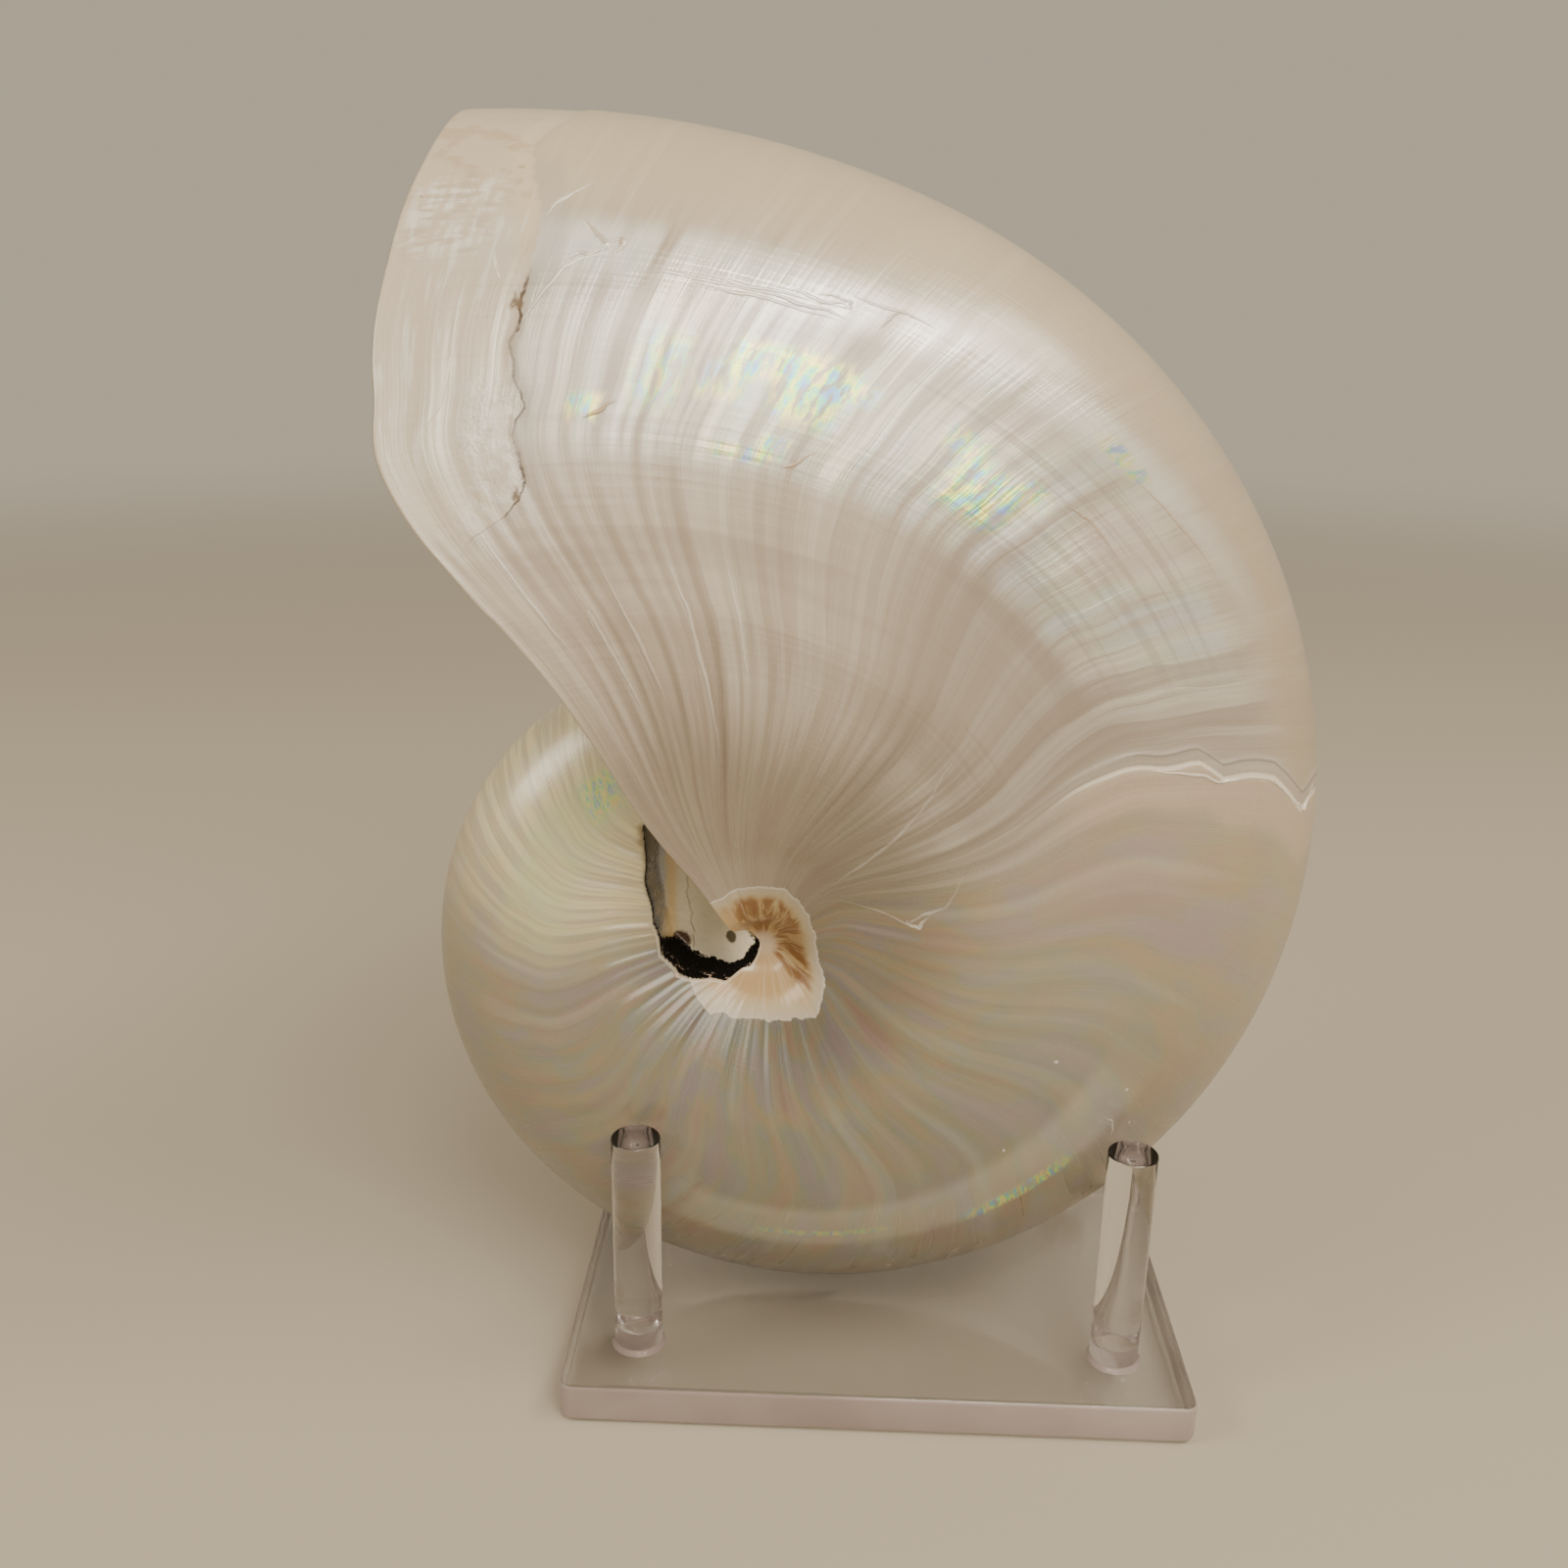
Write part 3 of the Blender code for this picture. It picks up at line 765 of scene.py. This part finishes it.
    hue = bands(n, age, away, side, 1.3, 0.05, 5.0, 2.0)
    rainbow = n.add("ShaderNodeValToRGB", {"stops": PAINTED_GLINT_HUES}, {"Fac": hue.ramp(0.32, 0.68)}, "Color")
    slow_hue = bands(n, age, away, side, 7.0, 0.25, 12.0, 2.0)
    pastel = n.add("ShaderNodeValToRGB", {"stops": RAINBOW}, {"Fac": slow_hue.ramp(0.3, 0.7)}, "Color")
    # Pastel tints: a painted iridescent highlight on the upper flank, and a faint tint of the older
    # whorl's own
    colour = n.mix(painted_sheen * lit * 0.16 + older * 0.06, colour, pastel)
    # Painted highlights: bright iridescent cells painted into the colour, which also raise the metallic
    # shine
    painted_glint = 0.0
    for place, centre, half, across, strength in PAINTED_GLINTS:
        spot = age.band(place, half * 0.5, half * 0.8) * away.band(centre, across * 0.5, across * 0.8)
        painted_glint = spot * strength + painted_glint
    cells = bands(n, age, away, side, 0.7, 0.04, 6.0, 3.0).ramp(0.42, 0.52)
    painted_glint = (painted_glint * (0.15 + 0.85 * cells)).least(1.0) * side.ramp(0.3, -0.3)
    colour = n.mix(painted_glint * 0.85, colour, rainbow)
    return colour, painted_sheen * lit + shoulder * 0.5, painted_glint, thin


def umbilicus_colour(n, colour):
    """Adds the callus with its flames, and the pit's lining and soot."""
    x, y, z = n.attribute("coil_x"), n.attribute("coil_y"), n.attribute("coil_z")
    callus, pit = n.attribute("callus"), n.attribute("pit")
    speck = n.noise(n.combine(x, y, z), 1.1, 4.0, 0.6)
    fine = n.noise(n.combine(x, y, z), 2.4, 3.0, 0.6)
    right, above = x - 1.5, z + 5.0
    reach = (right * right + above * above) ** 0.5
    turn = above.math("ARCTAN2", right)
    scallop = n.noise(n.combine(turn * 3.2, 0.3, 0.0), 1.0, 3.0, 0.6)
    edge = callus + (scallop - 0.5) * 2.6 + (speck - 0.5) * 0.5
    line = n.noise(n.combine(turn * 12.0, reach * 0.10, 6.0), 1.0, 3.0, 0.6, 0.2)
    flame = n.noise(n.combine(turn * 4.6, reach * 0.17, 4.0), 1.0, 4.0, 0.6, 0.5)
    top = turn.band(0.65, 1.25, 0.35)
    within = (edge + (line - 0.5) * 1.4).ramp(1.3, 2.9) * reach.ramp(1.2, 3.0)
    hot = flame.ramp(0.41, 0.53) * within * top
    deposit = n.mix(edge.ramp(0.3, 1.8), (0.42, 0.355, 0.26), (0.43, 0.345, 0.205))
    deposit = n.mix(within * top * 0.85, deposit, (0.42, 0.285, 0.12))
    deposit = n.mix(hot, deposit, (0.205, 0.090, 0.020))
    warm = edge.ramp(1.6, 3.6) * (1.0 - top)
    deposit = n.mix(warm * (0.5 + 0.4 * line), deposit, (0.48, 0.295, 0.115))
    deposit = n.mix(reach.ramp(3.0, 1.0) * 0.8, deposit, (0.50, 0.37, 0.26))
    deposit = n.mix(line.ramp(0.56, 0.64) * 0.25, deposit, (0.64, 0.56, 0.42))
    laid = edge.ramp(-0.1, 0.15)
    colour = n.mix(laid, colour, deposit)
    colour = n.mix(edge.band(0.12, 0.08, 0.18) * 0.4, colour, (0.60, 0.56, 0.47))

    low = z.ramp(-1.5, -6.5) * x.ramp(3.0, 0.0)
    width = 0.16 + 1.05 * low
    # Grey lining of the pit, darkening towards the black rim: painted shade on the pit's steep side
    lining_with_painted_shade = n.mix(pit.ramp(0.1, 1.8), (0.07, 0.078, 0.08), (0.42, 0.43, 0.42))
    lining = n.mix((x + (speck - 0.5) * 1.2).ramp(-15.4, -14.0), lining_with_painted_shade, (0.66, 0.49, 0.24))
    lining = n.mix((x + (speck - 0.5) * 1.0).ramp(-13.8, -12.2), lining, (0.74, 0.665, 0.50))
    lining = n.mix(speck.ramp(0.52, 0.68) * 0.35, lining, (0.55, 0.47, 0.33))
    brown = (x + 12.4) * (x + 12.4) + (z + 6.1) * (z + 6.1) + (fine - 0.5) * 3.0
    lining = n.mix(brown.ramp(4.2, 1.8), lining, (0.075, 0.035, 0.015))
    notch = (x + 3.8) * (x + 3.8) * 1.6 + (z + 4.2) * (z + 4.2) + (fine - 0.5) * 1.5
    lining = n.mix(notch.ramp(1.7, 0.7), lining, (0.09, 0.07, 0.035))
    lined = pit.ramp(0.0, 0.12)
    ragged = (speck - 0.5) * 1.9 + (fine - 0.5) * 1.2
    black = (width + ragged * width.least(0.6) - pit).ramp(-0.12, 0.12) * lined
    crumb = fine.ramp(0.60, 0.70) * low
    soot = n.mix(crumb * 0.5, (0.004, 0.0035, 0.003), (0.10, 0.088, 0.075))
    colour = n.mix(lined, colour, n.mix(black, lining, soot))
    chips = pit.band(0.0, 0.22, 0.3) * low * speck.ramp(0.56, 0.62)
    colour = n.mix(chips * 0.9, colour, (0.60, 0.42, 0.32))
    rim = pit.band(-0.16, 0.12, 0.16) * 0.55
    colour = n.mix(rim, colour, (0.68, 0.61, 0.48))
    return colour, edge, lined, black * (1.0 - chips) * (1.0 - crumb * 0.4)


def edge_colours(n, colour, age, away, side):
    """Adds the newest layer's edge behind the lip, its stains, and the healed break below."""
    healed, broken = n.attribute("healed"), n.attribute("broken")
    shift = drift(away, side) - 3.0
    fleck = n.noise(n.combine(age * 0.9, away * 55.0, shift), 1.0, 4.0, 0.65)
    cloud = n.noise(n.combine(age * 0.35, away * 16.0, shift + 5.0), 1.0, 4.0, 0.6)
    line = healed + (fleck - 0.5) * 0.9
    layer = line.ramp(0.12, -0.12) * away.ramp(0.98, 0.9)
    colour = n.mix(layer * 0.5, colour, (0.62, 0.525, 0.39))
    colour = n.mix(layer * line.ramp(-1.9, -0.9) * away.band(0.40, 0.16, 0.08) * 0.7, colour,
                   (0.64, 0.52, 0.35))
    stain = layer * cloud.ramp(0.50, 0.62) * away.band(0.34, 0.10, 0.06)
    colour = n.mix(stain * 0.55, colour, (0.45, 0.32, 0.19))
    colour = n.mix(layer * fleck.ramp(0.66, 0.72) * away.band(0.36, 0.16, 0.1) * 0.7, colour,
                   (0.30, 0.19, 0.10))
    weft = n.noise(n.combine(age * 0.5, away * 90.0, shift + 8.0), 1.0, 2.0)
    warp = n.noise(n.combine(age * 1.6, away * 9.0, shift + 9.0), 1.0, 3.0)
    # Painted light and shade on the soft fold lines behind the lip: pale highlight cells and darker
    # lines
    painted_fold_light = layer * away.band(0.50, 0.05, 0.05) * age.band(3.2, 2.0, 1.4)
    colour = n.mix(painted_fold_light * weft.ramp(0.44, 0.56) * warp.ramp(0.38, 0.55) * 0.5, colour, PAINTED_HIGHLIGHT_WHITE)
    colour = n.mix(painted_fold_light * weft.ramp(0.45, 0.38) * 0.35, colour, (0.42, 0.34, 0.26))
    # Painted highlight streaks across the newest layer
    colour = n.mix(layer * warp.ramp(0.54, 0.62) * away.band(0.66, 0.16, 0.1) * 0.35, colour,
                   PAINTED_HIGHLIGHT_WHITE)
    scaly = layer * line.ramp(-6.0, -3.0) * away.band(0.85, 0.055, 0.06)
    colour = n.mix(scaly * fleck.ramp(0.44, 0.62) * 0.4, colour, (0.72, 0.71, 0.72))
    colour = n.mix(scaly * fleck.ramp(0.44, 0.34) * 0.4, colour, (0.34, 0.27, 0.20))
    seam = away.band(0.77, 0.14, 0.04)
    colour = n.mix(line.band(1.0, 0.5, 0.9) * away.band(0.66, 0.26, 0.05) * 0.35, colour,
                   (0.38, 0.335, 0.29))
    colour = n.mix(line.band(0.05, 0.05, 0.14) * seam * (0.45 + 0.55 * cloud.ramp(0.4, 0.55)),
                   colour, (0.10, 0.07, 0.045))
    colour = n.mix(line.band(-0.2, 0.25, 0.35) * seam * cloud.ramp(0.56, 0.64), colour,
                   (0.17, 0.115, 0.065))

    seen = away.ramp(1.0, 0.9)
    colour = n.mix(broken.band(2.6, 1.8, 3.0) * seen * 0.55, colour, (0.50, 0.375, 0.265))
    colour = n.mix(broken.band(-1.2, 0.9, 0.5) * seen * 0.40, colour, (0.44, 0.40, 0.345))
    colour = n.mix(broken.band(0.0, 0.16, 0.28) * seen * 0.75, colour, (0.82, 0.76, 0.62))
    colour = n.mix(broken.band(-1.75, 0.05, 0.2) * seen * away.ramp(0.86, 0.8) * 0.6, colour,
                   (0.17, 0.13, 0.10))
    return colour, scaly * fleck


def nacre_material():
    """Polished mother of pearl, with dull soot in the umbilical pit."""
    material, n = new_material("polished nacre")
    age, away, side = n.attribute("age"), n.attribute("away"), n.attribute("side")
    pearl, shine, painted_glint, thin = nacre_colour(n, age, away, side)
    pearl, scales = edge_colours(n, pearl, age, away, side)
    colour, edge, lined, black = umbilicus_colour(n, pearl)
    scar = n.attribute("scar")
    # Scar ridges: pale tops are a painted highlight, negative tones a rusty crack
    colour = n.mix(scar.most(0.0) * 0.6, colour, (0.80, 0.76, 0.68))
    colour = n.mix((-scar).most(0.0) * 0.8, colour, (0.42, 0.27, 0.15))
    inside = n.attribute("inset").ramp(0.0003, 0.0012)
    colour = n.mix(inside, colour, (0.64, 0.575, 0.485))
    outer = 1.0 - inside

    quiet = (0.3 + 0.7 * away.ramp(1.80, 1.35)) * (1.0 - 0.55 * age.ramp(92.0, 112.0))
    fine = bands(n, age, away, side, 0.35, 0.8, 8.0, 4.0)
    coarse = bands(n, age, away, side, 2.5, 1.1, 9.0, 4.0)
    spiral = bands(n, age, away, side, 30.0, 0.012, 10.0, 2.0)
    grain = (fine * 0.3 + coarse * 0.7 + spiral * 0.3) * (1.0 - lined) * quiet * (1.0 - inside * 0.75)
    height = grain + (edge.ramp(-0.1, 0.2) * 1.2 + scales * 0.9) * outer
    bump = n.add("ShaderNodeBump", None, {"Strength": 0.6, "Distance": 0.00035, "Height": height})
    matte = away.ramp(0.5, 0.2) * 0.12 + edge.ramp(0.0, 0.5) * 0.2
    rough = 0.30 + matte + black * 0.3 + (coarse - 0.5) * 0.12 + (thin - 0.5) * 0.10
    shader = n.add("ShaderNodeBsdfPrincipled", None, {
        "Base Color": colour, "Roughness": rough - shine.least(1.0) * 0.10,
        "Metallic": (shine.least(1.0) * 0.25 + painted_glint * 0.5) * outer,
        "IOR": 1.65, "Coat Weight": 0.6 - 0.6 * black.most(lined * 0.6),
        "Coat Roughness": 0.2, "Coat IOR": 1.5, "Normal": bump})
    sooty = n.add("ShaderNodeBsdfPrincipled", None, {
        "Base Color": (0.006, 0.005, 0.004, 1.0), "Roughness": 0.9, "Specular IOR Level": 0.05})
    surface = n.add("ShaderNodeMixShader", None, [black * outer, shader, sooty])
    n.add("ShaderNodeOutputMaterial", None, {"Surface": surface})
    return material


# ---------------------------------------------------------------- stand
def clear_material(name, alpha):
    """Clear acrylic, dusty and lightly scratched."""
    material, n = new_material(name)
    place = n.add("ShaderNodeTexCoord", None, None, "Object")
    dust = n.noise(place, 900.0, 4.0, 0.7).ramp(0.60, 0.78) * n.noise(place, 45.0, 2.0).ramp(0.45, 0.7)
    scratch = n.noise(place, 260.0, 3.0, 0.7)
    shader = n.add("ShaderNodeBsdfPrincipled", None, {
        "Base Color": (0.965, 0.945, 0.94, 1.0), "Roughness": 0.015 + dust * 0.35, "IOR": 1.49,
        "Transmission Weight": 1.0, "Alpha": alpha,
        "Normal": n.add("ShaderNodeBump", None, {
            "Strength": 0.05, "Distance": 0.0002, "Height": scratch})})
    n.add("ShaderNodeOutputMaterial", None, {"Surface": shader})
    return material


def edge_material():
    """The plate's cut edges: flame-polished, a little milky and pink."""
    material, n = new_material("milky acrylic edge")
    place = n.add("ShaderNodeTexCoord", None, None, "Object")
    cloud = n.noise(place, 30.0, 3.0)
    shader = n.add("ShaderNodeBsdfPrincipled", None, {
        "Base Color": n.mix(cloud.ramp(0.3, 0.7), (0.35, 0.275, 0.25), (0.45, 0.37, 0.345)),
        "Roughness": 0.06 + 0.05 * cloud, "IOR": 1.49, "Transmission Weight": 0.35})
    n.add("ShaderNodeOutputMaterial", None, {"Surface": shader})
    return material


def finish_piece(name, bm, materials, node):
    """Turns a bmesh into a piece that stands for a CAD node of the stand."""
    bmesh.ops.remove_doubles(bm, verts=bm.verts, dist=1e-6)
    bmesh.ops.recalc_face_normals(bm, faces=bm.faces)
    mesh = bpy.data.meshes.new(name)
    bm.to_mesh(mesh)
    bm.free()
    for material in materials:
        mesh.materials.append(material)
    mesh.shade_smooth()
    mesh.set_sharp_from_angle(angle=math.radians(50))
    thing = bpy.data.objects.new(name, mesh)
    bpy.context.scene.collection.objects.link(thing)
    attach(thing, "root")
    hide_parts(node)


def build_plate(clear, edge):
    """The base plate: rounded corners, softened edges and milky sides."""
    low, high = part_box("stand_base")
    middle, size = (low + high) / 2, high - low
    bm = bmesh.new()
    bmesh.ops.create_cube(bm, size=1.0)
    bmesh.ops.scale(bm, vec=size, verts=bm.verts)
    upright = [e for e in bm.edges if abs(e.verts[0].co.z - e.verts[1].co.z) > 1e-4]
    bmesh.ops.bevel(bm, geom=upright, offset=PLATE_CORNER, segments=6, profile=0.5, affect="EDGES")
    level = [e for e in bm.edges if abs(e.verts[0].co.z - e.verts[1].co.z) < 1e-5
             and {round(abs(f.normal.z)) for f in e.link_faces} == {0, 1}]
    bmesh.ops.bevel(bm, geom=level, offset=PLATE_EDGE, segments=4, profile=0.5, affect="EDGES")
    bm.normal_update()
    for face in bm.faces:
        face.material_index = int(abs(face.normal.z) < 0.8)
    bmesh.ops.translate(bm, vec=middle, verts=bm.verts)
    finish_piece("clear_plate", bm, (clear, edge), "stand_base")


def build_peg(node, clear, edge):
    """A turned peg with a rounded top edge, standing in a thin ring of cement."""
    low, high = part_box(node)
    middle, radius = (low + high) / 2, (high.x - low.x) / 2
    top, foot = high.z, low.z - 0.0002
    profile = [(0.0, foot), (radius + CEMENT_WIDTH, foot), (radius + 0.00045, foot + 0.00012),
               (radius + 0.0001, foot + 0.0005), (radius, foot + 0.001),
               (radius, foot + GROOVE_HEIGHT - 0.0001), (radius - 0.00008, foot + GROOVE_HEIGHT),
               (radius, foot + GROOVE_HEIGHT + 0.0001)]
    profile += [(radius, foot + (top - foot) * k / 6) for k in range(1, 6)]
    for turn in range(0, 91, 15):
        angle = math.radians(turn)
        profile.append((radius - PEG_TOP_ROUND * (1 - math.cos(angle)),
                        top - PEG_TOP_ROUND * (1 - math.sin(angle))))
    profile += [(radius * 0.6, top - PEG_TOP_DISH / 3), (radius * 0.52, top - PEG_TOP_DISH),
                (0.0, top - PEG_TOP_DISH)]
    bm = bmesh.new()
    verts = [bm.verts.new((middle.x + x, middle.y, z)) for x, z in profile]
    edges = [bm.edges.new(pair) for pair in zip(verts, verts[1:])]
    bmesh.ops.spin(bm, geom=verts + edges, cent=middle, axis=(0, 0, 1), steps=72,
                   angle=2 * math.pi, use_merge=True)
    for face in bm.faces:
        face.material_index = int(face.calc_center_median().z < foot + CEMENT_HEIGHT)
    finish_piece("clear_" + node, bm, (clear, edge), node)


# ---------------------------------------------------------------- room
FLOOR_RADIUS = 2.4
FLOOR_DROP = 0.0003  # below the plate, so that the two faces don't fight


def build_room():
    """A plain pale floor that fades out into an even, warm surround."""
    bpy.ops.mesh.primitive_circle_add(vertices=96, radius=FLOOR_RADIUS, fill_type="NGON",
                                      location=(0, 0, -FLOOR_DROP))
    floor = bpy.context.object
    floor.name = "floor"
    material, n = new_material("pale floor")
    place = n.add("ShaderNodeTexCoord", None, None, "Object")
    far = n.add("ShaderNodeVectorMath", {"operation": "LENGTH"}, [place], "Value")
    matte = n.add("ShaderNodeBsdfPrincipled", None, {
        "Base Color": (0.43, 0.38, 0.30, 1.0), "Roughness": 0.7})
    clear = n.add("ShaderNodeBsdfTransparent")
    surface = n.add("ShaderNodeMixShader", None, [far.ramp(0.45, 1.5), matte, clear])
    n.add("ShaderNodeOutputMaterial", None, {"Surface": surface})
    floor.data.materials.append(material)
    world = bpy.data.worlds.new("studio")
    bpy.context.scene.world = world
    world.use_nodes = True
    n = Nodes(world.node_tree)
    glow = n.add("ShaderNodeBackground", None, {"Color": (0.52, 0.45, 0.335, 1.0), "Strength": 0.95})
    n.add("ShaderNodeOutputWorld", None, {"Surface": glow})


def area_light(name, place, aim, size, power, colour):
    data = bpy.data.lights.new(name, "AREA")
    data.shape = "RECTANGLE"
    data.size, data.size_y = size
    data.energy = power
    data.color = colour
    lamp = bpy.data.objects.new(name, data)
    bpy.context.scene.collection.objects.link(lamp)
    lamp.location = place
    lamp.rotation_euler = (Vector(aim) - Vector(place)).to_track_quat("-Z", "Y").to_euler()


def build_lights():
    warm = (1.0, 0.92, 0.80)
    area_light("ceiling strip", (0.42, -0.38, 0.92), (0.0, -0.02, 0.15), (1.1, 0.2), 9.5, warm)
    area_light("front panel", (0.32, -0.85, 0.66), (0.0, -0.03, 0.16), (0.75, 0.5), 6.5, warm)
    area_light("side fill", (-0.84, -0.33, 0.62), (0.0, 0.0, 0.1), (0.4, 0.4), 4.5, warm)


CAMERA_PLACE = (-0.010394, -0.236667, 0.174976)
CAMERA_TURN = (-0.0303, 0.3183, 0.0161)
CAMERA_LENS = 34.488


def build_camera():
    """The camera, by its yaw, downward pitch and roll in radians."""
    yaw, pitch, roll = CAMERA_TURN
    ahead = Vector((math.sin(yaw) * math.cos(pitch), math.cos(yaw) * math.cos(pitch), -math.sin(pitch)))
    level = Vector((math.cos(yaw), -math.sin(yaw), 0.0))
    up = level.cross(ahead)
    right = level * math.cos(roll) + up * math.sin(roll)
    top = up * math.cos(roll) - level * math.sin(roll)
    data = bpy.data.cameras.new("camera")
    data.lens = CAMERA_LENS
    data.sensor_width = 36.0
    camera = bpy.data.objects.new("camera", data)
    bpy.context.scene.collection.objects.link(camera)
    matrix = Matrix((right, top, -ahead)).transposed().to_4x4()
    camera.matrix_world = Matrix.Translation(CAMERA_PLACE) @ matrix
    bpy.context.scene.camera = camera


build_camera()
build_room()
build_lights()
build_shell(nacre_material())
milky = edge_material()
build_plate(clear_material("clear acrylic plate", 0.5), milky)
rod = clear_material("clear acrylic rod", 1.0)
for node in PEGS:
    build_peg(node, rod, milky)
